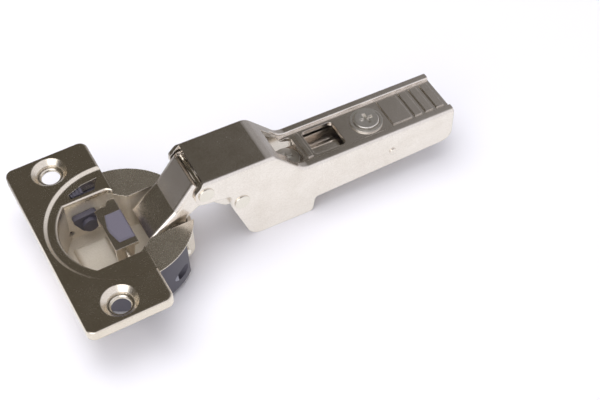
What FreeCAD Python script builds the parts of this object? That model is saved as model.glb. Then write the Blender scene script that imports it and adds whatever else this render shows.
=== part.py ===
"""Cranked cup hinge with a soft-closing damper, as one parametric document in millimetres.

The origin is the centre of the 35 mm bore, on the face of the door. +Z leaves the door, +X runs towards
the arm and +Y lies along the pivot pins. The hinge stands open on its stop, with the arm almost level.
"""
import FreeCAD, Part
import math
import os
import re
import Sketcher

Vector = FreeCAD.Vector
doc = FreeCAD.newDocument("cranked_hinge")

# Driving dimensions, one cell each
SIZES = {
    # sheet metal, pins and clearances
    "cup_sheet": 1.0, "arm_sheet": 1.2, "lever_sheet": 1.0, "inner_sheet": 1.2, "carrier_sheet": 1.1,
    "rocker_sheet": 0.9,
    "pin_radius": 1.0, "pin_play": 0.03, "side_gap": 0.3,
    # screw-on plate of the cup
    "plate_left": 19.8, "plate_right": 2.2, "plate_half": 28.2, "plate_top": 2.7,
    "plate_corner": 2.2, "plate_edge": 0.7, "wing_start": 19.6,
    "screw_offset": 9.5, "screw_half": 22.5, "screw_hole": 2.4, "screw_seat": 3.3, "sink_chamfer": 1.3,
    "seat_depth": 1.75, "hole_chamfer": 0.35, "boss_radius": 5.6,
    # recessed disc, lip and pot
    "bore_radius": 17.4, "ring_reach": 0.3, "ring_bevel": 0.75, "disc_depth": 0.8,
    "lip_reach": 0.6, "lip_top": 0.25, "lip_depth": 0.8,
    "pot_depth": 12.8, "mouth_inset": 2.2, "pot_front": 16.4, "pot_bend": 1.2,
    "trough_inset": 6.4, "throat_room": 1.1, "shoulder_start": 0.9, "shoulder_end": 4.9,
    "throat_corner": 2.5, "shoulder_round": 1.5, "notch_top": -1.4, "mouth_round": 0.7,
    "ridge_left": 11.6, "ridge_right": 2.6, "ridge_far": 7.2, "ridge_near": 8.6, "ridge_height": 1.6,
    "ridge_round": 1.3, "dimple_x": 10.2, "dimple_z": 9.4, "dimple_radius": 0.8,
    # pivots of the linkage at the open stop
    "outer_pivot_x": 12.2, "outer_pivot_z": -6.16, "inner_pivot_x": 8.11, "inner_pivot_z": -5.18,
    "front_pivot_x": 20.37, "front_pivot_z": 7.72, "arm_tilt": 2.55,
    "rear_pivot_u": 9.49, "rear_pivot_w": 7.85, "outer_pin_half": 11.4, "inner_pin_half": 8.9,
    # outer lever
    "lever_play": 0.4, "lever_low_x": 4.9, "lever_low_z": -2.8, "lever_fold_x": 12.3, "lever_fold_z": 3.33,
    "lever_high_x": 18.1, "lever_high_z": 10.38, "lever_bend": 1.5, "lever_boss": 2.3,
    "neck_right_x": 14.7, "neck_right_z": 0.3, "neck_left_x": 13.2, "neck_left_z": -2.2,
    "skirt_low_x": 5.95, "skirt_low_z": -4.0, "skirt_mid_x": 9.3, "skirt_mid_z": -1.2,
    "skirt_high_x": 12.2, "skirt_high_z": 0.2,
    # inner lever
    "inner_play": 0.7, "inner_boss": 1.75, "inner_eye": 3.1, "inner_eye_play": 0.85,
    "inner_knee_x": 17.4, "inner_knee_z": 0.5, "inner_web": 1.3, "inner_shoulder_x": 22.4,
    # arm, measured from its front pivot along the arm and square to it
    "arm_half": 7.9, "hump_top": 3.8, "hump_front": 0.3, "crank_start": 18.2, "crank_end": 26.8,
    "rim_drop": 5.0, "arm_rear_low": 15.7, "rear_round": 3.0,
    "step_u": 30.4, "step_low": 17.6, "lobe_rear": 29.7, "lobe_low": 22.5, "lobe_front": 12.0,
    "throat_u": 6.7, "throat_low": 8.6, "throat_top": 4.3, "lug_front": 2.9, "lug_low": 3.1, "lug_top": 1.0,
    "arm_bend": 1.3, "crank_round": 4.0, "lobe_round": 4.5, "small_round": 1.2,
    "web_recess": 0.9, "rim_width": 2.5, "rim_round": 0.5, "bar_bead": 0.35, "bead_inset": 0.8,
    "opening_start": 20.4, "opening_end": 29.4, "opening_half": 4.4,
    "window_start": 32.4, "window_end": 41.4, "window_half": 4.3,
    "depth_u": 49.6, "pad_offset": 5.6, "pad_length": 5.7, "rib_pitch": 3.3, "rib_length": 2.2,
    "rib_space": 0.9, "rib_rise": 0.35, "rib_half": 4.5, "rear_land": 1.1,
    "bump_u": 53.4, "bump_w": 11.8, "bump_radius": 1.0, "bump_rise": 0.35,
    # rivets and screws of the arm
    "rivet_head": 2.1, "rivet_height": 0.45,
    "depth_neck": 2.6, "depth_head": 3.35, "depth_head_height": 1.0, "depth_flange": 3.7,
    "depth_flange_height": 0.9,
    "slide_travel": 2.0, "stud_radius": 1.2, "collar_radius": 4.3, "collar_height": 0.5, "screw_lift": 0.05,
    "driver_width": 1.0, "driver_length": 3.6, "driver_depth": 0.7, "head_round": 0.3,
    "side_screw_u": 26.1, "side_screw_head": 3.5, "side_screw_head_height": 1.7, "side_screw_shank": 2.0,
    "side_screw_length": 6.5,
    # clip carrier and its latch
    "carrier_play": 0.4, "carrier_front": 21.9, "carrier_inset": 3.1, "carrier_drop": 2.55,
    "carrier_depth": 6.0, "carrier_bend": 1.2, "hook_radius": 1.7, "hook_u": 34.5,
    "hook_nose": 3.5, "tongue_half": 4.6, "crown_y": -0.6, "crown_radius": 3.4, "crown_drop": 2.2,
    "crown_gap": 0.6,
    "latch_inset": 7.1, "latch_play": 0.5, "latch_pin_radius": 1.0, "latch_length": 7.5,
    "latch_top": 1.9, "latch_hook": 3.0, "latch_back": 2.0,
    "latch_wire": 0.35, "latch_coil": 1.5, "latch_turns": 3.0,
    # damper in the cup
    "housing_gap": 0.2, "housing_lift": 0.4,
    "damper_radius": 1.5, "damper_length": 9.0, "damper_x": 3.0, "damper_z": -8.6, "damper_wall": 0.6,
    "switch_x": -6.1, "switch_inset": 4.9, "switch_length": 3.2, "switch_wide": 2.1, "switch_narrow": 0.9,
    "switch_travel": 2.6, "slot_reach": 2.2,
    "switch_rise": 0.2, "groove_width": 0.35, "groove_pitch": 0.9,
    "cam_x": -5.4, "cam_z": -5.6, "cam_thick": 1.6, "cam_hub": 2.0, "cam_hub_height": 2.8, "cam_shaft": 0.9,
    "tip_far_x": -9.9, "tip_far_z": -2.9, "tip_near_x": -2.7, "tip_near_z": -2.5,
    "tip_low_x": -7.2, "tip_low_z": -8.3, "tip_round": 1.0,
    "rocker_left": -4.1, "rocker_right": 1.9, "rocker_top": -0.1, "rocker_inset": 4.4,
    "rocker_pin_x": -1.2, "rocker_pin_z": -4.4, "rocker_pin_radius": 0.8, "rocker_ear": 1.5,
    "rocker_tip": 2.6, "rocker_step": 0.8, "rocker_notch": 2.1,
    "rocker_pad_left": -2.3, "rocker_pad_half": 4.7, "pad_bow": 1.2, "pad_bow_round": 6.0,
    "rocker_pad_rise": 0.4,
    "closing_coil": 1.38, "closing_turns": 7.0, "closing_wire": 0.25, "coil_pitch": 3.0,
}

# Dimensions that follow others, as formulas in the same sheet
FOLLOWERS = {
    "lever_half": "arm_half - arm_sheet - lever_play", "inner_half": "lever_half - lever_sheet - inner_play",
    "carrier_half": "arm_half - arm_sheet - carrier_play",
    "latch_half": "carrier_half - carrier_sheet - latch_play",
    "pad_start": "depth_u + pad_offset", "pad_end": "pad_start + pad_length",
    "arm_rear": "pad_end + rib_space + 2 * rib_pitch + rib_length + rear_land",
    "carrier_rear": "arm_rear - carrier_inset", "latch_u": "carrier_rear - latch_inset",
    "ring_radius": "bore_radius + ring_reach", "lip_radius": "bore_radius + lip_reach",
    "mouth_radius": "bore_radius - mouth_inset", "trough_half": "bore_radius - trough_inset",
    "throat_half": "lever_half + throat_room",
    "housing_radius": "bore_radius - housing_gap", "housing_inner": "trough_half + cup_sheet + side_gap",
    "housing_top": "-lip_depth - side_gap", "housing_low": "housing_lift - pot_depth",
    "damper_y": "housing_inner + damper_wall + damper_radius", "switch_y": "bore_radius - switch_inset",
    "rocker_half": "trough_half - rocker_inset",
    "latch_w": "rim_drop + web_recess + arm_sheet + carrier_drop + carrier_sheet + side_gap + latch_top",
}

sheet = doc.addObject("Spreadsheet::Sheet", "Sizes")
cells = list(SIZES.items()) + [(alias, "=" + formula) for alias, formula in FOLLOWERS.items()]
for row, (alias, content) in enumerate(cells, 1):
    sheet.set("A%d" % row, alias)
    sheet.setAlias("B%d" % row, alias)
    sheet.set("B%d" % row, str(content))
NAMES = {alias for alias, content in cells}
doc.recompute()

# Places that several pieces share, in size names
WEB_TOP = "-rim_drop - web_recess"
WEB_LOW = WEB_TOP + " - arm_sheet"
CARRIER_TOP = WEB_LOW + " - carrier_drop"
CARRIER_LOW = CARRIER_TOP + " - carrier_depth"
DISC_TOP = "plate_top - disc_depth"
REAR_X = "(front_pivot_x + rear_pivot_u * cos(arm_tilt) - rear_pivot_w * sin(arm_tilt))"
REAR_Z = "(front_pivot_z - rear_pivot_u * sin(arm_tilt) - rear_pivot_w * cos(arm_tilt))"
BOTH_SIDES = (("near", "-"), ("far", ""))

def ref(text):
    """Turns an expression in plain size names into one that points at the sheet's cells."""
    named = re.sub(r"[a-z][a-z_]*", lambda m: "Sizes." + m.group() if m.group() in NAMES else m.group(),
                   text)
    return re.sub(r"(sin|cos)\((Sizes\.\w+)\)", r"\1(\2 * 1 deg)", named)

def value(text):
    """The number that an expression gives now."""
    return float(sheet.evalExpression(ref(text)))

def new_body(name, on_arm=False):
    """A body, with its own frame at the arm's front pivot and tilted with the arm if it sits there."""
    body = doc.addObject("PartDesign::Body", name)
    body.Label = name
    if on_arm:
        body.Placement.Rotation = FreeCAD.Rotation(Vector(0, 1, 0), value("arm_tilt"))
        body.setExpression("Placement.Base.x", ref("front_pivot_x"))
        body.setExpression("Placement.Base.z", ref("front_pivot_z"))
        body.setExpression("Placement.Rotation.Angle", ref("arm_tilt"))
    return body

def new_sketch(body, name, plane, height):
    """A sketch on one of the body's planes, raised along its normal; that of XZ points to -Y."""
    sketch = body.newObject("Sketcher::SketchObject", name)
    role = plane + "_Plane"
    sketch.AttachmentSupport = [(next(f for f in body.Origin.OriginFeatures if f.Role == role), "")]
    sketch.MapMode = "FlatFace"
    sketch.setExpression("AttachmentOffset.Base.z", ref(height))
    return sketch

def bind(sketch, constraint, text):
    """Adds a constraint and ties its size to an expression."""
    index = sketch.addConstraint(constraint)
    sketch.setExpression("Constraints[%d]" % index, ref(text))

def fix_point(sketch, geometry, vertex, x, y):
    """Ties a vertex to two expressions, measured from the sketch's origin."""
    bind(sketch, Sketcher.Constraint("DistanceX", -1, 1, geometry, vertex, value(x)), x)
    bind(sketch, Sketcher.Constraint("DistanceY", -1, 1, geometry, vertex, value(y)), y)

def corner_round(before, corner, after, radius):
    """The touching points and the centre of a round in a corner, and whether it turns left."""
    back = (before - corner).normalize()
    ahead = (after - corner).normalize()
    half = back.getAngle(ahead) / 2
    reach = radius / math.tan(half)
    centre = corner + (back + ahead).normalize() * (radius / math.sin(half))
    return corner + back * reach, corner + ahead * reach, centre, back.cross(ahead).z < 0

def draw_arc(sketch, centre, start, end):
    """Adds an arc that runs to the left from start to end."""
    radius = (start - centre).Length
    angles = [math.atan2(p.y - centre.y, p.x - centre.x) for p in (start, end)]
    if angles[1] < angles[0]:
        angles[1] += 2 * math.pi
    return sketch.addGeometry(Part.ArcOfCircle(Part.Circle(centre, Vector(0, 0, 1), radius), *angles),
                              False)

def draw_outline(sketch, corners):
    """Draws a closed outline through corners (x, y) or, with a rounded corner, (x, y, radius)."""
    points = [Vector(value(c[0]), value(c[1]), 0) for c in corners]
    count = len(points)
    rounds = {i: corner_round(points[i - 1], points[i], points[(i + 1) % count], value(c[2]))
              for i, c in enumerate(corners) if len(c) == 3}
    for i in range(count):
        after = (i + 1) % count
        start = rounds[i][1] if i in rounds else points[i]
        end = rounds[after][0] if after in rounds else points[after]
        sketch.addGeometry(Part.LineSegment(start, end), False)
    for i, corner in enumerate(corners):
        before = (i - 1) % count
        if i not in rounds:
            sketch.addConstraint(Sketcher.Constraint("Coincident", before, 2, i, 1))
            fix_point(sketch, i, 1, corner[0], corner[1])
            continue
        first, second, centre, left = rounds[i]
        arc = draw_arc(sketch, centre, first, second) if left else draw_arc(sketch, centre, second, first)
        sketch.addConstraint(Sketcher.Constraint("Tangent", before, 2, arc, 1 if left else 2))
        sketch.addConstraint(Sketcher.Constraint("Tangent", i, 1, arc, 2 if left else 1))
        bind(sketch, Sketcher.Constraint("Radius", arc, value(corner[2])), corner[2])
        spot = sketch.addGeometry(Part.Point(points[i]), True)
        sketch.addConstraint(Sketcher.Constraint("PointOnObject", spot, 1, before))
        sketch.addConstraint(Sketcher.Constraint("PointOnObject", spot, 1, i))
        fix_point(sketch, spot, 1, corner[0], corner[1])

def draw_circle(sketch, x, y, radius):
    circle = Part.Circle(Vector(value(x), value(y), 0), Vector(0, 0, 1), value(radius))
    index = sketch.addGeometry(circle, False)
    fix_point(sketch, index, 3, x, y)
    bind(sketch, Sketcher.Constraint("Radius", index, value(radius)), radius)

def sweep(body, name, sketch, low, high, removes):
    """Pads a sketch that lies at low up to high, or pockets one that lies at high down to low."""
    feature = body.newObject("PartDesign::Pocket" if removes else "PartDesign::Pad", name)
    feature.Profile = sketch
    feature.setExpression("Length", ref("(%s) - (%s)" % (high, low)))
    sketch.Visibility = False
    doc.recompute()
    return feature

def add_prism(body, name, plane, corners, low, high):
    sketch = new_sketch(body, name + "_outline", plane, low)
    draw_outline(sketch, corners)
    return sweep(body, name, sketch, low, high, False)

def cut_prism(body, name, plane, corners, low, high):
    sketch = new_sketch(body, name + "_outline", plane, high)
    draw_outline(sketch, corners)
    return sweep(body, name, sketch, low, high, True)

def add_disc(body, name, plane, x, y, radius, low, high):
    sketch = new_sketch(body, name + "_circle", plane, low)
    draw_circle(sketch, x, y, radius)
    return sweep(body, name, sketch, low, high, False)

def cut_disc(body, name, plane, x, y, radius, low, high):
    sketch = new_sketch(body, name + "_circle", plane, high)
    draw_circle(sketch, x, y, radius)
    return sweep(body, name, sketch, low, high, True)

def box(left, right, low, high, radius=None):
    """The four corners of a rectangle, rounded if a radius is given."""
    corners = [(left, low), (right, low), (right, high), (left, high)]
    return [c + (radius,) for c in corners] if radius else corners

def round_edges(body, name, radius, wanted):
    """Fillets the edges of the body's last feature that wanted(edge) picks."""
    base = body.Tip
    chosen = ["Edge%d" % i for i, edge in enumerate(base.Shape.Edges, 1) if wanted(edge)]
    if not chosen:
        raise ValueError("no edge to round for " + name)
    fillet = body.newObject("PartDesign::Fillet", name)
    fillet.Base = (base, chosen)
    fillet.setExpression("Radius", ref(radius))
    doc.recompute()
    if fillet.Shape.isNull() or "Invalid" in fillet.State:
        raise RuntimeError("fillet failed: " + name)
    return fillet

def at_level(axis, level, test=None):
    """Picks edges that lie wholly at one level of an axis, and pass the test if one is given."""
    spots = [value(level)] if isinstance(level, str) else [value(text) for text in level]

    def wanted(edge):
        bounds = edge.BoundBox
        low, high = getattr(bounds, axis + "Min"), getattr(bounds, axis + "Max")
        flat = any(abs(low - spot) < 1e-4 and abs(high - spot) < 1e-4 for spot in spots)
        return flat and (test is None or test(edge))
    return wanted

def bevel_edges(body, name, size, wanted):
    """Chamfers the edges of the body's last feature that wanted(edge) picks."""
    base = body.Tip
    chosen = ["Edge%d" % i for i, edge in enumerate(base.Shape.Edges, 1) if wanted(edge)]
    if not chosen:
        raise ValueError("no edge to bevel for " + name)
    chamfer = body.newObject("PartDesign::Chamfer", name)
    chamfer.Base = (base, chosen)
    chamfer.setExpression("Size", ref(size))
    doc.recompute()
    if chamfer.Shape.isNull() or "Invalid" in chamfer.State:
        raise RuntimeError("chamfer failed: " + name)
    return chamfer

def has_radius(size):
    """Picks circles of one radius."""
    radius = value(size)
    return lambda edge: is_circle(edge) and abs(edge.Curve.Radius - radius) < 1e-4

def is_circle(edge):
    return edge.Curve.TypeId == "Part::GeomCircle"

def mouth_outline(mouth, shoulder, throat, front, broad, narrow, nose):
    """Plan of the pot: a round back, broad sides, shoulders and a narrow throat in front."""
    back = "-sqrt((%s)^2 - (%s)^2)" % (mouth, broad)
    sides = [(back, broad), (shoulder, broad, "shoulder_round"), (throat, narrow, "shoulder_round"),
             (front, narrow, nose)]
    far = [(c[0], "-(%s)" % c[1]) + c[2:] for c in reversed(sides)]
    return sides + far

def draw_mouth(body, name, height, mouth, corners):
    """A mouth outline whose straight back is replaced by an arc round the bore's centre."""
    sketch = new_sketch(body, name + "_outline", "XY", height)
    draw_outline(sketch, corners)
    last = len(corners) - 1
    start, end = (Vector(value(c[0]), value(c[1]), 0) for c in (corners[0], corners[last]))
    sketch.toggleConstruction(last)
    arc = draw_arc(sketch, Vector(), start, end)
    sketch.addConstraint(Sketcher.Constraint("Coincident", arc, 1, last, 2))
    sketch.addConstraint(Sketcher.Constraint("Coincident", arc, 2, last, 1))
    bind(sketch, Sketcher.Constraint("Radius", arc, value(mouth)), mouth)
    return sketch

# Pressed steel cup: the deep pot, the screw-on plate, the recessed disc and the lip
def make_hinge_cup():
    cup = new_body("hinge_cup")
    outer = "mouth_radius + cup_sheet"
    outside = mouth_outline(outer, "shoulder_start + cup_sheet / 2", "shoulder_end + cup_sheet / 2",
                            "pot_front",
                            "trough_half + cup_sheet", "throat_half + cup_sheet",
                            "throat_corner + cup_sheet")
    sweep(cup, "pot", draw_mouth(cup, "pot", "-pot_depth", outer, outside), "-pot_depth", "0", False)
    round_edges(cup, "pot_base", "pot_bend", at_level("Z", "-pot_depth"))
    plate = box("-plate_left", "plate_right", "-plate_half", "plate_half", "plate_corner")
    add_prism(cup, "plate", "XY", plate, "0", "plate_top")
    round_edges(cup, "plate_rim", "plate_edge", at_level("Z", "plate_top"))
    add_disc(cup, "lip", "XY", "0", "0", "lip_radius", "0", "lip_top")
    add_disc(cup, "collar", "XY", "0", "0", "bore_radius", "-lip_depth", "lip_top")
    for side, sign in BOTH_SIDES:
        rows = sorted((sign + "wing_start", sign + "(plate_half - cup_sheet)"), key=value)
        wing = box("-plate_left + cup_sheet", "plate_right - cup_sheet", *rows, "plate_corner - cup_sheet")
        cut_prism(cup, "hollow_" + side, "XY", wing, "-1", "plate_top - cup_sheet")
        add_disc(cup, "boss_" + side, "XY", "-screw_offset", sign + "screw_half", "boss_radius",
                 "0", "plate_top - cup_sheet / 2")
    cut_disc(cup, "recess", "XY", "0", "0", "ring_radius", DISC_TOP, "plate_top + 1")
    rim = new_sketch(cup, "recess_bevel_circle", "XY", "plate_top")
    draw_circle(rim, "0", "0", "ring_radius + ring_bevel")
    sweep(cup, "recess_bevel", rim, "plate_top - ring_bevel", "plate_top", True).TaperAngle = -45
    doc.recompute()
    inside = mouth_outline("mouth_radius", "shoulder_start", "shoulder_end", "pot_front - cup_sheet",
                           "trough_half", "throat_half", "throat_corner")
    trough = draw_mouth(cup, "trough", "plate_top + 1", "mouth_radius", inside)
    sweep(cup, "trough", trough, "-pot_depth + cup_sheet", "plate_top + 1", True)
    notch = box("pot_front - 3 * cup_sheet", "lip_radius + 1", "-throat_half", "throat_half")
    cut_prism(cup, "lever_notch", "XY", notch, "notch_top", "plate_top + 1")
    on_ring = has_radius("ring_radius")
    round_edges(cup, "mouth_lip", "mouth_round",
                at_level("Z", DISC_TOP, lambda e: not on_ring(e) and e.BoundBox.XLength > 1e-3))
    ridge_top = "-pot_depth + cup_sheet + ridge_height"
    add_prism(cup, "floor_ridge", "XY", box("-ridge_left", "-ridge_right", "-ridge_near", "ridge_far"),
              "-pot_depth + cup_sheet / 2", ridge_top)
    round_edges(cup, "ridge_edges", "ridge_round", at_level("Z", ridge_top))
    for side, sign in BOTH_SIDES:
        spot = ("-screw_offset", sign + "screw_half")
        cut_disc(cup, "hole_" + side, "XY", *spot, "screw_hole", "-1", "plate_top + 1")
        cut_disc(cup, "seat_" + side, "XY", *spot, "screw_seat", "plate_top - seat_depth", "plate_top + 1")
    bevel_edges(cup, "sinks", "sink_chamfer", at_level("Z", "plate_top", has_radius("screw_seat")))
    bevel_edges(cup, "hole_rims", "hole_chamfer", at_level("Z", "plate_top - seat_depth",
                                                           has_radius("screw_hole")))
    slot = [("switch_x - switch_length / 2 - side_gap", "switch_y - side_gap"),
            ("switch_x + switch_length / 2 + switch_travel + side_gap", "switch_y - side_gap"),
            ("switch_x + switch_length / 2 + switch_travel + slot_reach",
             "switch_y + switch_wide + 3 * side_gap"),
            ("switch_x + switch_length / 2 + 2 * side_gap", "switch_y + switch_wide + 2 * side_gap"),
            ("switch_x - switch_length / 2 - side_gap", "switch_y + switch_narrow + side_gap")]
    cut_prism(cup, "switch_slot", "XY", slot, "-lip_depth - 1", "plate_top + 1")
    reach = "trough_half + 3 * cup_sheet"
    for name, x, z, radius in (("outer_pin_hole", "outer_pivot_x", "outer_pivot_z", "pin_radius"),
                               ("inner_pin_hole", "inner_pivot_x", "inner_pivot_z", "pin_radius"),
                               ("rocker_pin_hole", "rocker_pin_x", "rocker_pin_z", "rocker_pin_radius")):
        cut_disc(cup, name, "XZ", x, z, radius, "-(%s)" % reach, reach)
    cut_disc(cup, "cam_shaft_hole", "XZ", "cam_x", "cam_z", "cam_shaft + pin_play", "-(%s)" % reach, "0")
    cut_disc(cup, "wall_dimple", "XZ", "-dimple_x", "-dimple_z", "dimple_radius", "-(%s)" % reach, "0")
    return cup

def make_pin(name, x, z, radius, half, on_arm=False):
    """A plain headless pin along Y."""
    pin = new_body(name, on_arm)
    add_disc(pin, "shank", "XZ", x, z, radius, "-(%s)" % half, half)
    return pin

# Outer lever: a channel folded from sheet, whose flanges reach round the inner pin to the outer one
def make_outer_lever():
    lever = new_body("outer_lever")
    boss = "lever_boss"
    side = [("lever_low_x", "lever_low_z"), ("lever_fold_x", "lever_fold_z", "lever_bend"),
            ("lever_high_x", "lever_high_z"),
            ("lever_high_x + 0.77 * lever_sheet", "lever_high_z - 0.63 * lever_sheet"),
            ("front_pivot_x + lever_boss", "front_pivot_z + lever_boss", boss),
            ("front_pivot_x + lever_boss", "front_pivot_z - lever_boss", boss + " * 0.7"),
            ("neck_right_x", "neck_right_z", boss),
            ("outer_pivot_x + lever_boss", "outer_pivot_z - lever_boss", boss + " * 0.95"),
            ("outer_pivot_x - lever_boss", "outer_pivot_z - lever_boss", boss + " * 0.95"),
            ("outer_pivot_x - lever_boss", "outer_pivot_z + lever_boss", boss + " * 0.95"),
            ("neck_left_x", "outer_pivot_z + lever_boss", "0.6"), ("neck_left_x", "neck_left_z + 1", "0.8"),
            ("skirt_high_x", "skirt_high_z", "0.8"), ("skirt_mid_x", "skirt_mid_z"), ("skirt_low_x",
                                                                                      "skirt_low_z")]
    add_prism(lever, "block", "XZ", side, "-lever_half", "lever_half")
    low, fold, high = ([value(n) for n in c[:2]] for c in side[:3])

    def on_outside(edge):
        middle = edge.CenterOfMass
        if abs(abs(middle.y) - value("lever_half")) > 1e-4 or edge.BoundBox.YLength > 1e-4:
            return False
        ends = [v.Point for v in edge.Vertexes]
        return all(p.x < high[0] + 1e-4 and above_web(p, low, fold, high) for p in ends)
    round_edges(lever, "bends", "lever_bend", on_outside)
    down = "lever_sheet"
    inside = [("lever_low_x - 3", "lever_low_z - 6"), ("lever_low_x + 0.64 * " + down,
                                                       "lever_low_z - 0.77 * " + down),
              ("lever_fold_x + 0.71 * " + down, "lever_fold_z - 0.71 * " + down),
              ("lever_high_x + 0.77 * " + down, "lever_high_z - 0.63 * " + down),
              ("front_pivot_x + 9", "front_pivot_z + 9"), ("front_pivot_x + 9", "outer_pivot_z - 9"),
              ("lever_low_x - 3", "outer_pivot_z - 9")]
    cut_prism(lever, "channel", "XZ", inside, "-lever_half + lever_sheet", "lever_half - lever_sheet")
    for name, x, z in (("cup_eye", "outer_pivot_x", "outer_pivot_z"), ("arm_eye", "front_pivot_x",
                                                                       "front_pivot_z")):
        cut_disc(lever, name, "XZ", x, z, "pin_radius + pin_play", "-lever_half - 1", "lever_half + 1")
    return lever

def above_web(point, low, fold, high):
    """Whether a point lies on the outer face of the outer lever's folded web."""
    for a, b in ((low, fold), (fold, high)):
        run, rise = b[0] - a[0], b[1] - a[1]
        off = ((point.z - a[1]) * run - (point.x - a[0]) * rise) / math.hypot(run, rise)
        if a[0] - 0.6 <= point.x <= b[0] + 0.6 and abs(off) < 0.25:
            return True
    return False

# Inner lever: a narrow channel that passes between the flanges of the outer one
def make_inner_lever():
    lever = new_body("inner_lever")
    web_top = "inner_knee_z + inner_web"
    side = [("inner_pivot_x - inner_boss", "inner_pivot_z + 0.6 * inner_boss", "inner_boss * 0.98"),
            ("inner_knee_x", web_top, "2"), ("inner_shoulder_x", web_top, "2"),
            (REAR_X + " + inner_eye", REAR_Z + " + inner_eye", "inner_eye * 0.9"),
            (REAR_X + " + inner_eye", REAR_Z + " - inner_eye", "inner_eye * 0.9"),
            (REAR_X + " - inner_eye", REAR_Z + " - inner_eye", "inner_eye * 0.9"),
            ("inner_shoulder_x", "inner_knee_z", "1"), ("inner_knee_x", "inner_knee_z", "1"),
            ("inner_pivot_x + 1.3 * inner_boss", "inner_pivot_z + 0.3 * inner_boss", "0.5"),
            ("inner_pivot_x + inner_boss", "inner_pivot_z - inner_boss", "inner_boss * 0.95"),
            ("inner_pivot_x - inner_boss", "inner_pivot_z - inner_boss", "inner_boss * 0.95")]
    add_prism(lever, "block", "XZ", side, "-inner_half", "inner_half")
    cup_room = box("inner_pivot_x - 9", "inner_pivot_x + 1.5 * inner_boss", "inner_pivot_z - 9",
                   "inner_pivot_z + 9")
    cut_prism(lever, "cup_fork", "XZ", cup_room, "-inner_half + inner_sheet", "inner_half - inner_sheet")
    arm_room = box(REAR_X + " - 1.2 * inner_eye", REAR_X + " + 9", REAR_Z + " - 9", REAR_Z + " + 9")
    cut_prism(lever, "arm_fork", "XZ", arm_room, "-inner_half + inner_sheet", "inner_half - inner_sheet")
    for name, x, z, radius in (("cup_eye", "inner_pivot_x", "inner_pivot_z", "pin_radius + pin_play"),
                               ("arm_eye", REAR_X, REAR_Z, "pin_radius + inner_eye_play")):
        cut_disc(lever, name, "XZ", x, z, radius, "-inner_half - 1", "inner_half + 1")
    return lever

# Cranked arm: one U-shaped stamping, high over the levers and low behind the crank
def make_hinge_arm():
    arm = new_body("hinge_arm", True)
    side = [("-hump_front", "hump_top"), ("crank_start", "hump_top", "crank_round"),
            ("crank_end", "-rim_drop", "crank_round"), ("arm_rear", "-rim_drop"),
            ("arm_rear", "-arm_rear_low", "rear_round"), ("step_u", "-step_low", "small_round"),
            ("lobe_rear", "-lobe_low", "small_round"), ("lobe_front", "-lobe_low", "lobe_round"),
            ("throat_u", "-throat_low", "lobe_round"), ("throat_u", "-throat_top", "small_round"),
            ("-lug_front", "-lug_low", "lug_front * 0.95"), ("-lug_front", "lug_top", "small_round")]
    add_prism(arm, "block", "XZ", side, "-arm_half", "arm_half")
    front, low, half = value("-hump_front"), value("-rim_drop"), value("arm_half")

    def on_top(edge):
        bounds = edge.BoundBox
        outer = bounds.YLength < 1e-4 and abs(abs(bounds.YMin) - half) < 1e-4
        return outer and bounds.ZMin > low - 1e-4 and bounds.XMin > front - 1e-4
    round_edges(arm, "top_bends", "arm_bend", on_top)
    room = "arm_half - arm_sheet"
    inside = [("-lug_front - 2", "hump_top + 1"), ("-hump_front", "hump_top + 1"),
              ("-hump_front", "hump_top - arm_sheet"),
              ("crank_start - arm_sheet / 2", "hump_top - arm_sheet", "crank_round - arm_sheet"),
              ("crank_end + arm_sheet / 2", WEB_LOW, "crank_round"), ("arm_rear + 2", WEB_LOW),
              ("arm_rear + 2", "-lobe_low - 2"), ("-lug_front - 2", "-lobe_low - 2")]
    cut_prism(arm, "channel", "XZ", inside, "-(%s)" % room, room)
    below = WEB_TOP + " - 2 * arm_sheet"
    trough = box("crank_end - 3", "arm_rear + 1", "-arm_half + rim_width", "arm_half - rim_width")
    cut_prism(arm, "web_trough", "XY", trough, WEB_TOP, "1")
    rim, inner = value("-rim_drop"), value("arm_half - rim_width")

    def on_rim(edge):
        bounds = edge.BoundBox
        return bounds.YLength < 1e-4 and abs(abs(bounds.YMin) - inner) < 1e-4 and bounds.ZMin > rim - 1e-4
    round_edges(arm, "rim_beads", "rim_round", on_rim)
    opening = box("opening_start", "opening_end", "-opening_half", "opening_half", "small_round")
    cut_prism(arm, "screw_opening", "XY", opening, below, "1")
    window = box("window_start", "window_end", "-window_half", "window_half", "small_round")
    cut_prism(arm, "window", "XY", window, below, "0")
    bead = box("opening_end + bead_inset", "window_start - bead_inset", "-window_half", "window_half")
    add_prism(arm, "bar_bead", "XY", bead, WEB_TOP + " - arm_sheet / 2", WEB_TOP + " + bar_bead")
    cut_disc(arm, "depth_hole", "XY", "depth_u", "0", "depth_neck + pin_play", below, "0")
    starts = ["pad_start"] + ["pad_end + rib_space + %d * rib_pitch" % number for number in range(3)]
    ends = ["pad_end"] + [start + " + rib_length" for start in starts[1:]]
    for number, (start, end) in enumerate(zip(starts, ends)):
        add_prism(arm, "grip_%d" % number, "XY", box(start, end, "-rib_half", "rib_half"),
                  WEB_TOP + " - arm_sheet / 2", WEB_TOP + " + rib_rise")
    for name, u, w in (("front_hole", "0", "0"), ("rear_hole", "rear_pivot_u", "-rear_pivot_w")):
        cut_disc(arm, name, "XZ", u, w, "pin_radius", "-arm_half - 1", "arm_half + 1")
    add_disc(arm, "near_bump", "XZ", "bump_u", "-bump_w", "bump_radius", "arm_half - arm_sheet / 2",
             "arm_half + bump_rise")
    add_disc(arm, "far_bump", "XZ", "bump_u", "-bump_w", "bump_radius", "-arm_half - bump_rise",
             "-arm_half + arm_sheet / 2")
    return arm

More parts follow.
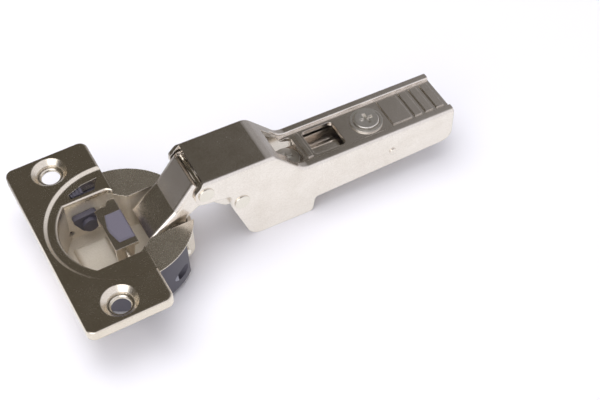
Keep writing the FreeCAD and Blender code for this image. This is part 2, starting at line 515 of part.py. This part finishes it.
def make_rivet(name, u, w):
    """A rivet across the arm, with a low head on each cheek."""
    rivet = new_body(name, True)
    top = "arm_half + rivet_height"
    add_disc(rivet, "shank", "XZ", u, w, "pin_radius", "-(%s)" % top, top)
    add_disc(rivet, "near_head", "XZ", u, w, "rivet_head", "arm_half", top)
    add_disc(rivet, "far_head", "XZ", u, w, "rivet_head", "-(%s)" % top, "-arm_half")
    round_edges(rivet, "head_edges", "rivet_height * 0.7", at_level("Y", (top, "-(%s)" % top), is_circle))
    return rivet

def cut_driver_cross(screw, u, top):
    """Cuts a cross-shaped driver recess into a screw head and softens the head's rim."""
    long, short = "driver_length / 2", "driver_width / 2"
    for name, x, y in (("along", long, short), ("across", short, long)):
        bar = box("%s - %s" % (u, x), "%s + %s" % (u, x), "-" + y, y)
        cut_prism(screw, "driver_" + name, "XY", bar, top + " - driver_depth", top + " + 1")
    round_edges(screw, "head_rim", "head_round", at_level("Z", top, is_circle))

# Depth screw: turns in the web of the arm, with its stud in a slot of the carrier
def make_depth_screw():
    screw = new_body("depth_screw", True)
    seat, under = WEB_TOP + " + screw_lift", WEB_LOW + " - screw_lift"
    add_disc(screw, "neck", "XY", "depth_u", "0", "depth_neck", under, seat)
    add_disc(screw, "head", "XY", "depth_u", "0", "depth_head", seat, seat + " + depth_head_height")
    flange_low = under + " - depth_flange_height"
    add_disc(screw, "flange", "XY", "depth_u", "0", "depth_flange", flange_low, under)
    add_disc(screw, "stud", "XY", "depth_u", "0", "stud_radius", CARRIER_TOP + " - carrier_sheet",
             flange_low)
    cut_driver_cross(screw, "depth_u", seat + " + depth_head_height")
    return screw

def make_depth_collar():
    collar = new_body("depth_screw_collar", True)
    add_disc(collar, "ring", "XY", "depth_u", "0", "collar_radius", WEB_TOP, WEB_TOP + " + collar_height")
    cut_disc(collar, "bore", "XY", "depth_u", "0", "depth_head + side_gap", WEB_TOP + " - 1",
             WEB_TOP + " + 1")
    return collar

# Clip carrier: a smaller channel that slides in the arm and hooks on to a mounting plate
def make_clip_carrier():
    carrier = new_body("clip_carrier", True)
    nose = "hook_u - hook_nose"
    side = [(nose, CARRIER_TOP), ("carrier_rear", CARRIER_TOP), ("carrier_rear", CARRIER_LOW + " + 1.5",
                                                                 "1"),
            ("latch_u - 4.5", CARRIER_LOW, "1"), (nose, CARRIER_LOW, "1")]
    add_prism(carrier, "block", "XZ", side, "-carrier_half", "carrier_half")
    half = value("carrier_half")
    round_edges(carrier, "bends", "carrier_bend",
                at_level("Z", CARRIER_TOP, lambda e: abs(abs(e.CenterOfMass.y) - half) < 1e-4))
    room = "carrier_half - carrier_sheet"
    under = CARRIER_TOP + " - carrier_sheet"
    tongue = box("carrier_front", nose + " + 1", "-tongue_half", "tongue_half")
    add_prism(carrier, "tongue", "XY", tongue, under, CARRIER_TOP)
    span = ("window_start + crown_gap", "window_end - crown_gap")
    centre = CARRIER_TOP + " - crown_drop"
    add_disc(carrier, "crown", "YZ", "crown_y", centre, "crown_radius", *span)
    cut_disc(carrier, "crown_hollow", "YZ", "crown_y", centre, "crown_radius - carrier_sheet", *span)
    cut_prism(carrier, "channel", "XZ", box("0", "arm_rear + 9", CARRIER_LOW + " - 9", under),
              "-(%s)" % room, room)
    room_y = "stud_radius + side_gap"
    room_u = room_y + " + slide_travel"
    slot = box("depth_u - %s" % room_u.replace(" + ", " - "), "depth_u + " + room_u, "-(%s)" % room_y,
               room_y)
    cut_prism(carrier, "depth_slot", "XY", slot, under + " - 1", CARRIER_TOP + " + 1")
    cut_disc(carrier, "screw_hole", "XY", "side_screw_u", "0", "side_screw_shank + pin_play",
             under + " - 1", CARRIER_TOP + " + 1")
    cut_disc(carrier, "hook", "XZ", "hook_u", CARRIER_LOW, "hook_radius", "-arm_half", "arm_half")
    cut_disc(carrier, "latch_pin_hole", "XZ", "latch_u", "-latch_w", "latch_pin_radius", "-arm_half",
             "arm_half")
    return carrier

def make_side_screw():
    screw = new_body("side_screw", True)
    seat = CARRIER_TOP + " + screw_lift"
    top = seat + " + side_screw_head_height"
    add_disc(screw, "shank", "XY", "side_screw_u", "0", "side_screw_shank",
             top + " - side_screw_length", seat)
    add_disc(screw, "head", "XY", "side_screw_u", "0", "side_screw_head", seat, top)
    cut_driver_cross(screw, "side_screw_u", top)
    return screw

# Release latch at the rear of the carrier
def make_clip_latch():
    latch = new_body("clip_latch", True)
    back, tail = "latch_u - latch_back", "latch_u + latch_length"
    side = [(back, "-latch_w + latch_top", "0.7 * latch_back"), (tail, "-latch_w + latch_top", "0.8"),
            (tail, "-latch_w + 0.4", "0.5"),
            ("latch_u + latch_back", "-latch_w - 0.4", "0.8"), ("latch_u + 0.8 * latch_back",
                                                                "-latch_w - latch_hook"),
            (back, "-latch_w - latch_hook", "0.8")]
    add_prism(latch, "block", "XZ", side, "-latch_half", "latch_half")
    room = box("latch_u - 9", "latch_u + latch_length / 2", "-latch_w - 9", "-latch_w + 9")
    cut_prism(latch, "spring_room", "XZ", room, "-latch_half / 2", "latch_half / 2")
    cut_disc(latch, "eye", "XZ", "latch_u", "-latch_w", "latch_pin_radius + pin_play", "-arm_half",
             "arm_half")
    return latch

def make_spring(name, x, z, radius, wire, turns, on_arm=False):
    """A torsion spring along Y; its round wire follows a helix, so the shape is swept directly."""
    pitch = value(wire + " * coil_pitch")
    length = pitch * value(turns)
    spine = Part.makeHelix(pitch, length, value(radius))
    ring = Part.Wire(Part.makeCircle(value(wire), Vector(value(radius), 0, 0), Vector(0, 1, 0)))
    solid = Part.Wire(spine.Edges).makePipeShell([ring], True, True)
    solid.translate(Vector(0, 0, -length / 2))
    solid.rotate(Vector(), Vector(1, 0, 0), 90)
    solid.translate(Vector(value(x), 0, value(z)))
    spring = doc.addObject("Part::Feature", name)
    spring.Label = name
    spring.Shape = solid
    if on_arm:
        turn = FreeCAD.Rotation(Vector(0, 1, 0), value("arm_tilt"))
        pivot = Vector(value("front_pivot_x"), 0, value("front_pivot_z"))
        spring.Placement = FreeCAD.Placement(pivot, turn).multiply(solid.Placement)
    return spring

# Damper: a housing on each side of the pot, with its cylinder
def make_damper_housing(side, sign):
    housing = new_body("damper_housing_" + side)
    add_disc(housing, "segment", "XY", "0", "0", "housing_radius", "housing_low", "housing_top")
    rows = ("-housing_radius - 1", "housing_inner") if sign == "" else ("-housing_inner",
                                                                        "housing_radius + 1")
    wide = ("-housing_radius - 1", "housing_radius + 1")
    cut_prism(housing, "inner_side", "XY", box(*wide, *rows), "housing_low - 1", "housing_top + 1")
    cut_disc(housing, "barrel_hole", "YZ", sign + "damper_y", "damper_z", "damper_radius + pin_play",
             "damper_x - damper_length / 2", "housing_radius")
    return housing

def make_damper_cylinder(side, sign):
    cylinder = new_body("damper_cylinder_" + side)
    add_disc(cylinder, "barrel", "YZ", sign + "damper_y", "damper_z", "damper_radius",
             "damper_x - damper_length / 2", "damper_x + damper_length / 2")
    return cylinder

def make_damper_switch():
    switch = new_body("damper_switch")
    left, right = "switch_x - switch_length / 2", "switch_x + switch_length / 2"
    near, far = "switch_y", "switch_y + switch_wide"
    top = DISC_TOP + " + switch_rise"
    knob = [(left, near), (right, near), (right, far), (left, "switch_y + switch_narrow")]
    add_prism(switch, "knob", "XY", knob, "housing_top", top)
    for number in range(3):
        start = left + " + groove_width + %d * groove_pitch" % number
        groove = box(start, start + " + groove_width", near + " - 1", far + " + 1")
        cut_prism(switch, "groove_%d" % number, "XY", groove, top + " - groove_width", top + " + 1")
    return switch

def make_damper_cam():
    cam = new_body("damper_cam")
    wall = "-trough_half + side_gap"
    tips = [("tip_far_x", "tip_far_z", "tip_round"), ("tip_low_x", "tip_low_z", "tip_round"),
            ("cam_x + cam_hub", "cam_z - cam_hub"), ("tip_near_x", "tip_near_z", "tip_round")]
    add_prism(cam, "plate", "XZ", tips, wall, wall + " + cam_thick")
    add_disc(cam, "hub", "XZ", "cam_x", "cam_z", "cam_hub", wall, wall + " + cam_hub_height")
    add_disc(cam, "shaft", "XZ", "cam_x", "cam_z", "cam_shaft", "-trough_half - cup_sheet", wall)
    return cam

# Damper lever: the steel rocker in the mouth, with its plastic pad
def make_damper_lever():
    lever = new_body("damper_lever")
    top, low = "rocker_top", "rocker_top - rocker_sheet"
    plate = [("rocker_left", "-rocker_half"), ("rocker_right", "-rocker_half"),
             ("rocker_right", "rocker_half + rocker_tip", "0.4"),
             ("rocker_right - rocker_notch", "rocker_half + rocker_tip - 0.3", "0.3"),
             ("rocker_right - rocker_notch - rocker_step", "rocker_half + rocker_step", "0.3"),
             ("rocker_left + rocker_notch", "rocker_half + rocker_step + 0.3", "0.3"),
             ("rocker_left", "rocker_half + rocker_step - 0.3")]
    add_prism(lever, "web", "XY", plate, low, top)
    ear = [("rocker_left", top), ("rocker_left", "rocker_pin_z"), ("rocker_pin_x",
                                                                   "rocker_pin_z - rocker_ear"),
           ("rocker_pin_x + rocker_ear", "rocker_pin_z"), ("rocker_right - 1", low),
           ("rocker_right - 1", top)]
    add_prism(lever, "ear_near", "XZ", ear, "rocker_half - rocker_sheet", "rocker_half")
    add_prism(lever, "ear_far", "XZ", ear, "-rocker_half", "-rocker_half + rocker_sheet")
    cut_disc(lever, "eye", "XZ", "rocker_pin_x", "rocker_pin_z", "rocker_pin_radius + pin_play",
             "-rocker_half - 1", "rocker_half + 1")
    cut_prism(lever, "window", "XY", pad_outline("rocker_right + 1"), low + " - 1", top + " + 1")
    return lever

def pad_outline(right):
    """Plan of the pad, with its bowed left edge."""
    return [("rocker_pad_left", "-rocker_pad_half"), (right, "-rocker_pad_half"), (right,
                                                                                   "rocker_pad_half"),
            ("rocker_pad_left", "rocker_pad_half"), ("rocker_pad_left - pad_bow", "0", "pad_bow_round")]

def make_damper_lever_pad():
    pad = new_body("damper_lever_pad")
    top = "rocker_top + rocker_pad_rise"
    add_prism(pad, "block", "XY", pad_outline("rocker_right"), "rocker_top - rocker_sheet", top)
    bevel_edges(pad, "rim", "rocker_pad_rise * 0.9", at_level("Z", top))
    return pad

def build():
    """Makes every sub-part."""
    parts = [make_hinge_cup(),
             make_pin("outer_lever_pin", "outer_pivot_x", "outer_pivot_z", "pin_radius", "outer_pin_half"),
             make_pin("inner_lever_pin", "inner_pivot_x", "inner_pivot_z", "pin_radius", "inner_pin_half"),
             make_pin("damper_lever_pin", "rocker_pin_x", "rocker_pin_z", "rocker_pin_radius",
                      "trough_half + cup_sheet"),
             make_outer_lever(), make_inner_lever(), make_hinge_arm(), make_rivet("front_rivet", "0", "0"),
             make_rivet("rear_rivet", "rear_pivot_u", "-rear_pivot_w"), make_depth_screw(),
             make_depth_collar(), make_clip_carrier(), make_side_screw(), make_clip_latch(),
             make_pin("latch_pin", "latch_u", "-latch_w", "latch_pin_radius", "carrier_half", True),
             make_spring("latch_spring", "latch_u", "-latch_w", "latch_coil", "latch_wire",
                         "latch_turns", True),
             make_spring("closing_spring", "inner_pivot_x", "inner_pivot_z", "closing_coil", "closing_wire",
                         "closing_turns")]
    for side, sign in BOTH_SIDES:
        parts.append(make_damper_housing(side, sign))
        parts.append(make_damper_cylinder(side, sign))
    return parts + [make_damper_switch(), make_damper_cam(), make_damper_lever(), make_damper_lever_pad()]

def check(parts):
    """Stops on any feature that failed and on any shape that is empty or not valid."""
    doc.recompute()
    for item in doc.Objects:
        if "Invalid" in item.State or "Error" in item.State:
            raise RuntimeError("failed: %s %s" % (item.Name, item.State))
    for part in parts:
        if part.Shape.isNull() or not part.Shape.isValid():
            raise RuntimeError("bad shape: " + part.Label)

def export(parts):
    os.makedirs("parts", exist_ok=True)
    for part in parts:
        part.Shape.exportStep("parts/%s.step" % part.Label)
        print("%-22s %8.1f mm3, %d solid" % (part.Label, part.Shape.Volume, len(part.Shape.Solids)))

pieces = build()
check(pieces)
export(pieces)
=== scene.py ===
# %% [markdown]
# # A cranked cup hinge on a white table
# The hinge is nickel-plated sheet steel with a few grey plastic damper parts. Its shape comes from the
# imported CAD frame, so this lesson is about the camera, the finishes, the table and the light.

# %% Load the frame
import math

import bpy
from mathutils import Matrix, Vector

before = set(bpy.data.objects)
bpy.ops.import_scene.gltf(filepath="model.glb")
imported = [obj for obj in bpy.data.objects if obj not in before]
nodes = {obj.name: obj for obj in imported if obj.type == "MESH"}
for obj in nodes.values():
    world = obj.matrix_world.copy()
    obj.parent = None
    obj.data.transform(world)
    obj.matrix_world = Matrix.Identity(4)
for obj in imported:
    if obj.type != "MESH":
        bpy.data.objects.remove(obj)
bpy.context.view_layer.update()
scene = bpy.context.scene
scene.view_settings.view_transform = "Standard"
MM = 0.001
print("CAD nodes:", len(nodes))

# %% [markdown]
# ## The camera
# The photograph was taken from above and in front, with a long lens. The place and the turn of the camera
# were worked out from known sizes on the hinge, such as the 45 mm between the screw holes, so the camera is
# written as a matrix: its right, up and backward directions, and its place.

# %% Camera
CAMERA_RIGHT = Vector((0.88035, -0.473116, -0.033843))
CAMERA_DOWN = Vector((-0.387272, -0.675751, -0.627201))
CAMERA_AHEAD = Vector((0.273869, 0.565263, -0.778122))
CAMERA_PLACE = Vector((-47.341, -199.474, 253.969)) * MM
FOCAL_PIXELS = 1314.8
IMAGE_WIDTH = 600
SENSOR_MM = 36.0

camera_data = bpy.data.cameras.new("photo_camera")
camera_data.sensor_width = SENSOR_MM
camera_data.sensor_fit = "HORIZONTAL"
camera_data.lens = FOCAL_PIXELS / IMAGE_WIDTH * SENSOR_MM
camera_data.clip_start = 0.01
camera = bpy.data.objects.new("photo_camera", camera_data)
scene.collection.objects.link(camera)
turn = Matrix((CAMERA_RIGHT, -CAMERA_DOWN, -CAMERA_AHEAD)).transposed()
camera.matrix_world = Matrix.Translation(CAMERA_PLACE) @ turn.to_4x4()
scene.camera = camera
print("lens %.1f mm" % camera_data.lens)

# %% [markdown]
# ## Two helpers for finishes
# Colours are written as hex values, as a paint chart gives them, and turned to the linear values that the
# shader works with. A second function adds a node, sets it and links it in one line, so that a finish can be
# read from top to bottom.


# %% Colour and node helpers
def linear(hex_colour):
    """An sRGB hex colour as linear RGBA."""
    channels = [int(hex_colour[i:i + 2], 16) / 255 for i in (1, 3, 5)]
    straight = [c / 12.92 if c <= 0.04045 else ((c + 0.055) / 1.055) ** 2.4 for c in channels]
    return (*straight, 1.0)


def add_node(tree, kind, settings=None, **inputs):
    """Adds a node; settings are its properties, inputs are values or sockets to link."""
    node = tree.nodes.new(kind)
    for name, setting in (settings or {}).items():
        setattr(node, name, setting)
    for name, source in inputs.items():
        key = int(name[1:]) if name[0] == "_" else name.replace("_", " ")
        if isinstance(source, bpy.types.NodeSocket):
            tree.links.new(source, node.inputs[key])
        else:
            node.inputs[key].default_value = source
    return node


def new_finish(name):
    """An empty material with its shader and object coordinates."""
    material = bpy.data.materials.new(name)
    material.use_nodes = True
    tree = material.node_tree
    shader = tree.nodes["Principled BSDF"]
    place = add_node(tree, "ShaderNodeTexCoord").outputs["Object"]
    return material, tree, shader, place


def per_mm(size_mm):
    """The texture scale that makes a pattern repeat about every size_mm."""
    return 1 / (size_mm * MM)


# %% [markdown]
# ## Nickel-plated steel
# The stampings are cold-rolled steel sheet with a bright nickel plating. The plating keeps the fine grain of
# the rolled sheet, so a flat face is not quite a mirror: its reflections are a little soft and grainy, with
# a few brighter specks. Nickel is a warm grey metal. Grain of 0.3 mm is coarser than the real one, which
# would not show at this picture size. The plating is duller in the hollow of the cup, and the screws are
# zinc plated and more satin than the sheet.

# %% Nickel finish
GRAIN_MM = 0.32
CLOUD_MM = 6.0
GRAIN_SHARE = 0.65
HOLLOW_TOP = 0.6
HOLLOW_LOW = -2.5
HOLLOW_METAL = 0.45


def nickel_finish(name, colour, dark, rough, spread, grain_depth, edge_mm, hollow_rough=None):
    """Plated sheet steel: a metal with a fine grain in its colour, gloss and surface, and softened edges.

    With hollow_rough, what lies below the disc of the cup is that rough and more satin than mirror, because
    plating is dull in a hollow."""
    material, tree, shader, place = new_finish(name)
    grain = add_node(tree, "ShaderNodeTexNoise", Vector=place, Scale=per_mm(GRAIN_MM), Detail=3.0,
                     Roughness=0.7)
    cloud = add_node(tree, "ShaderNodeTexNoise", Vector=place, Scale=per_mm(CLOUD_MM), Detail=4.0,
                     Roughness=0.6)
    cloud_part = add_node(tree, "ShaderNodeMath", {"operation": "MULTIPLY"}, _0=cloud.outputs["Fac"],
                          _1=1 - GRAIN_SHARE)
    mixed = add_node(tree, "ShaderNodeMath", {"operation": "MULTIPLY_ADD"}, _0=grain.outputs["Fac"],
                     _1=GRAIN_SHARE, _2=cloud_part.outputs[0])
    tone = add_node(tree, "ShaderNodeValToRGB", Fac=mixed.outputs[0])
    tone.color_ramp.elements[0].position = 0.32
    tone.color_ramp.elements[0].color = linear(dark)
    tone.color_ramp.elements[1].position = 0.62
    tone.color_ramp.elements[1].color = linear(colour)
    tree.links.new(tone.outputs["Color"], shader.inputs["Base Color"])
    gloss = add_node(tree, "ShaderNodeMapRange", Value=mixed.outputs[0], From_Min=0.3, From_Max=0.7,
                     To_Min=rough - spread, To_Max=rough + spread)
    surface = gloss.outputs["Result"]
    if hollow_rough:
        height = add_node(tree, "ShaderNodeSeparateXYZ", Vector=place).outputs["Z"]
        depth = add_node(tree, "ShaderNodeMapRange", Value=height, From_Min=HOLLOW_TOP * MM,
                         From_Max=HOLLOW_LOW * MM)
        surface = add_node(tree, "ShaderNodeMix", _0=depth.outputs["Result"], _2=surface,
                           _3=hollow_rough).outputs[0]
        satin = add_node(tree, "ShaderNodeMapRange", Value=depth.outputs["Result"], To_Min=1.0,
                         To_Max=HOLLOW_METAL)
        tree.links.new(satin.outputs["Result"], shader.inputs["Metallic"])
    else:
        shader.inputs["Metallic"].default_value = 1.0
    tree.links.new(surface, shader.inputs["Roughness"])
    soft_edge = add_node(tree, "ShaderNodeBevel", {"samples": 6}, Radius=edge_mm * MM)
    bump = add_node(tree, "ShaderNodeBump", Height=grain.outputs["Fac"], Strength=0.25,
                    Distance=grain_depth * MM, Normal=soft_edge.outputs["Normal"])
    tree.links.new(bump.outputs["Normal"], shader.inputs["Normal"])
    return material


sheet_nickel = nickel_finish("nickel_plated_sheet", "#f3ede6", "#e2dad0", 0.22, 0.06, 0.02, 0.28)
cup_nickel = nickel_finish("nickel_plated_deep_drawn_cup", "#efe7da", "#ddd3c3", 0.24, 0.06, 0.02, 0.3, 0.5)
bright_nickel = nickel_finish("bright_nickel_pins", "#eee9df", "#ded8cc", 0.15, 0.04, 0.008, 0.12)
screw_zinc = nickel_finish("zinc_plated_cold_headed_screws", "#f6f3ee", "#e6e2da", 0.46, 0.05, 0.01, 0.16)
print("metals ready")

# %% [markdown]
# ## Grey damper plastic
# The damper's cam, pad, switch and housings are moulded from a grey, glass-filled plastic. Its skin is matt
# with a fine spark-eroded texture and a faint violet tone.

# %% Plastic finish
SPARK_MM = 0.22


def plastic_finish(name, colour, dark, rough):
    """Moulded plastic with a fine eroded skin."""
    material, tree, shader, place = new_finish(name)
    skin = add_node(tree, "ShaderNodeTexNoise", Vector=place, Scale=per_mm(SPARK_MM), Detail=2.0,
                    Roughness=0.6)
    tone = add_node(tree, "ShaderNodeMix", {"data_type": "RGBA"}, _0=skin.outputs["Fac"],
                    _6=linear(dark), _7=linear(colour))
    tree.links.new(tone.outputs[2], shader.inputs["Base Color"])
    gloss = add_node(tree, "ShaderNodeMapRange", Value=skin.outputs["Fac"], From_Min=0.3, From_Max=0.7,
                     To_Min=rough - 0.08, To_Max=rough + 0.08)
    tree.links.new(gloss.outputs["Result"], shader.inputs["Roughness"])
    shader.inputs["IOR"].default_value = 1.53
    bump = add_node(tree, "ShaderNodeBump", Height=skin.outputs["Fac"], Strength=0.3, Distance=0.03 * MM)
    tree.links.new(bump.outputs["Normal"], shader.inputs["Normal"])
    return material


damper_grey = plastic_finish("grey_damper_plastic", "#57545f", "#494650", 0.5)
pad_grey = plastic_finish("pale_pad_plastic", "#736e7b", "#64606c", 0.55)
cylinder_grey = plastic_finish("pale_cylinder_plastic", "#a4a4ae", "#94949e", 0.42)
print("plastics ready")

# %% [markdown]
# ## Dress the CAD nodes
# Each node keeps its CAD shape and gets its finish. What is not named here is plated sheet.

# %% Assign finishes
FINISH_OF = {
    "hinge_cup": cup_nickel,
    "damper_housing_near": damper_grey, "damper_housing_far": damper_grey, "damper_switch": damper_grey,
    "damper_cam": damper_grey, "damper_lever_pad": pad_grey, "damper_cylinder_near": cylinder_grey,
    "damper_cylinder_far": cylinder_grey, "side_screw": screw_zinc, "depth_screw": screw_zinc,
    "depth_screw_collar": screw_zinc,
}
BRIGHT_NODES = ("outer_lever_pin", "inner_lever_pin", "damper_lever_pin", "front_rivet", "rear_rivet",
                "latch_pin", "latch_spring", "closing_spring")
for name, node in nodes.items():
    finish = FINISH_OF.get(name, bright_nickel if name in BRIGHT_NODES else sheet_nickel)
    node.data.materials.clear()
    node.data.materials.append(finish)
print("dressed", len(nodes), "nodes")

# %% [markdown]
# ## The table
# The hinge lies on a white table, on the bottom of its cup and on the two lobes of the arm. The table
# is therefore tilted a little against the cup's own frame.

# %% Table
CUP_REST = Vector((-15.0, 0.0, -12.85)) * MM
LOBE_REST = Vector((48.0, 0.0, -16.15)) * MM
TABLE_HALF = 1.6
TABLE_SIGNS = ((-1, -1), (1, -1), (1, 1), (-1, 1))

along = (LOBE_REST - CUP_REST).normalized()
across = Vector((0, 1, 0))
corners = [CUP_REST + (along * a + across * b) * TABLE_HALF for a, b in TABLE_SIGNS]
table_mesh = bpy.data.meshes.new("white_table")
table_mesh.from_pydata([tuple(c) for c in corners], [], [(0, 1, 2, 3)])
table = bpy.data.objects.new("white_table", table_mesh)
scene.collection.objects.link(table)
print("table tilt %.2f degrees" % math.degrees(math.atan2(along.z, along.x)))

# %% [markdown]
# ## The paint of the table
# The table is plain white and keeps the soft shadow. To glossy rays it also glows with a painted reflection:
# white in front, and behind the hinge a painted dim grey that stands in for a dim back wall, which is not in
# the scene.

# %% Table paint
TABLE_WHITE = "#f7f6fb"
MIRRORED_FRONT = "#ffffff"
# Painted reflection: the dim grey that glossy rays see on the table behind the hinge.
PAINTED_BACK_REFLECTION = "#4f4a42"
BACK_START = 18.0
BACK_END = 45.0
GLOW_SHARE = 0.65

table_finish, table_tree, table_shader, table_place = new_finish("white_table_paint")
table_shader.inputs["Base Color"].default_value = linear(TABLE_WHITE)
table_shader.inputs["Roughness"].default_value = 0.8
table_shader.inputs["Specular IOR Level"].default_value = 0.1
# From here to the mix below, glossy rays get a painted reflection: white in front, painted dim grey behind the
# hinge.
back_way = add_node(table_tree, "ShaderNodeSeparateXYZ", Vector=table_place).outputs["Y"]
painted_back_share = add_node(table_tree, "ShaderNodeMapRange", {"interpolation_type": "SMOOTHSTEP"}, Value=back_way,
                      From_Min=BACK_START * MM, From_Max=BACK_END * MM)
mirrored = add_node(table_tree, "ShaderNodeMix", {"data_type": "RGBA"}, _0=painted_back_share.outputs["Result"],
                    _6=linear(MIRRORED_FRONT), _7=linear(PAINTED_BACK_REFLECTION))
painted_reflection_glow = add_node(table_tree, "ShaderNodeEmission", Color=mirrored.outputs[2])
table_rays = add_node(table_tree, "ShaderNodeLightPath")
glow_share = add_node(table_tree, "ShaderNodeMath", {"operation": "MULTIPLY"},
                      _0=table_rays.outputs["Is Glossy Ray"], _1=GLOW_SHARE)
table_mix = add_node(table_tree, "ShaderNodeMixShader", _0=glow_share.outputs[0],
                     _1=table_shader.outputs["BSDF"], _2=painted_reflection_glow.outputs["Emission"])
table_mesh.materials.append(table_finish)
print("table painted")

# %% [markdown]
# ## The far table and its underside
# Far from the hinge, where the lamps no longer reach, the camera sees the table as the same white. From below
# the table is clear, so that the underside of the hinge can be looked at.

# %% Far table
FAR_START = 140.0
FAR_END = 400.0

far_way = add_node(table_tree, "ShaderNodeVectorMath", {"operation": "LENGTH"}, _0=table_place)
far_share = add_node(table_tree, "ShaderNodeMapRange", {"interpolation_type": "SMOOTHSTEP"},
                     Value=far_way.outputs["Value"], From_Min=FAR_START * MM, From_Max=FAR_END * MM)
far_seen = add_node(table_tree, "ShaderNodeMath", {"operation": "MULTIPLY"}, _0=far_share.outputs["Result"],
                    _1=table_rays.outputs["Is Camera Ray"])
far_white = add_node(table_tree, "ShaderNodeEmission", Color=linear(TABLE_WHITE))
table_all = add_node(table_tree, "ShaderNodeMixShader", _0=far_seen.outputs[0],
                     _1=table_mix.outputs["Shader"], _2=far_white.outputs["Emission"])
underside = add_node(table_tree, "ShaderNodeNewGeometry").outputs["Backfacing"]
table_clear = add_node(table_tree, "ShaderNodeBsdfTransparent")
table_one_sided = add_node(table_tree, "ShaderNodeMixShader", _0=underside, _1=table_all.outputs["Shader"],
                           _2=table_clear.outputs["BSDF"])
table_output = table_tree.nodes["Material Output"]
table_tree.links.new(table_one_sided.outputs["Shader"], table_output.inputs["Surface"])
print("table fades to white from %.0f mm" % FAR_START)

# %% [markdown]
# ## The room
# Bright metal shows what is around it. Seen from the camera, the level faces of the real hinge are dark,
# because they mirror a dim back wall and ceiling, and the upright faces are almost white, because they mirror
# the table. The room lights the hinge in plain white. Only glossy rays see a painted reflection in it: white
# in front, fading to a painted dim warm grey behind and above, a little lighter towards the right, so that the
# level faces mirror a dim room that is not in the scene.

# %% Room
DIM_SIDE = (-0.1, 0.75, 0.65)
DIM_FULL = 0.5
ROOM_WHITE = "#f6f5fb"
# Painted reflection: the dim warm grey that only glossy rays see behind and above the hinge.
ROOM_PAINTED_DIM_REFLECTION = "#524d44"
ROOM_LIGHT = 0.5
RIGHT_START = 0.3
RIGHT_END = 0.55
RIGHT_SHARE = 0.7

world = bpy.data.worlds.new("pale_room")
world.use_nodes = True
scene.world = world
sky = world.node_tree
background = sky.nodes["Background"]
rays = add_node(sky, "ShaderNodeLightPath")
bounced = add_node(sky, "ShaderNodeMath", {"operation": "MAXIMUM"}, _0=rays.outputs["Is Glossy Ray"],
                   _1=rays.outputs["Is Transmission Ray"])
seen = add_node(sky, "ShaderNodeMath", {"operation": "MAXIMUM"}, _0=rays.outputs["Is Camera Ray"],
                _1=bounced.outputs[0])
strength = add_node(sky, "ShaderNodeMapRange", Value=seen.outputs[0], To_Min=ROOM_LIGHT, To_Max=1.0)
sky.links.new(strength.outputs["Result"], background.inputs["Strength"])
direction = add_node(sky, "ShaderNodeTexCoord").outputs["Generated"]
towards = add_node(sky, "ShaderNodeVectorMath", {"operation": "DOT_PRODUCT"}, _0=direction, _1=DIM_SIDE)
painted_dimness = add_node(sky, "ShaderNodeMapRange", {"interpolation_type": "SMOOTHSTEP"},
                   Value=towards.outputs["Value"], From_Min=0.0, From_Max=DIM_FULL)
right_way = add_node(sky, "ShaderNodeSeparateXYZ", Vector=direction).outputs["X"]
right_fade = add_node(sky, "ShaderNodeMapRange", {"interpolation_type": "SMOOTHSTEP"}, Value=right_way,
                      From_Min=RIGHT_START, From_Max=RIGHT_END, To_Min=1.0, To_Max=RIGHT_SHARE)
painted_reflection_share = add_node(sky, "ShaderNodeMath", {"operation": "MULTIPLY"}, _0=painted_dimness.outputs["Result"],
                        _1=right_fade.outputs["Result"])
# Only glossy rays get the painted dim reflection; the light the room gives stays white.
share = add_node(sky, "ShaderNodeMath", {"operation": "MULTIPLY"}, _0=painted_reflection_share.outputs[0],
                 _1=rays.outputs["Is Glossy Ray"])
shade = add_node(sky, "ShaderNodeMix", {"data_type": "RGBA"}, _0=share.outputs[0], _6=linear(ROOM_WHITE),
                 _7=linear(ROOM_PAINTED_DIM_REFLECTION))
sky.links.new(shade.outputs[2], background.inputs["Color"])
print("room ready")

# %% [markdown]
# ## Two lamps
# Two broad lamps give the soft light. The one overhead is not mirrored, so that the level faces stay dark, and
# the one in front puts bright lines on the rolled edges.

# %% Lamps
HINGE_MIDDLE = (0.03, 0, 0)


def add_lamp(name, place, target, size, watts, mirrored):
    """A square soft lamp that looks at a point, and that the metal mirrors or not."""
    data = bpy.data.lights.new(name, "AREA")
    data.size = size
    data.energy = watts
    lamp = bpy.data.objects.new(name, data)
    scene.collection.objects.link(lamp)
    lamp.location = place
    lamp.visible_glossy = mirrored
    lamp.rotation_euler = (Vector(target) - Vector(place)).to_track_quat("-Z", "Y").to_euler()
    return lamp


add_lamp("window_lamp", (-0.1, 0.15, 1.0), HINGE_MIDDLE, 0.9, 7.5, False)
add_lamp("fill_lamp", (-0.7, -0.6, 0.7), HINGE_MIDDLE, 1.0, 4.0, True)
print("room lit")

# %% [markdown]
# ## Finish

# %% Finish
print("scene ready")
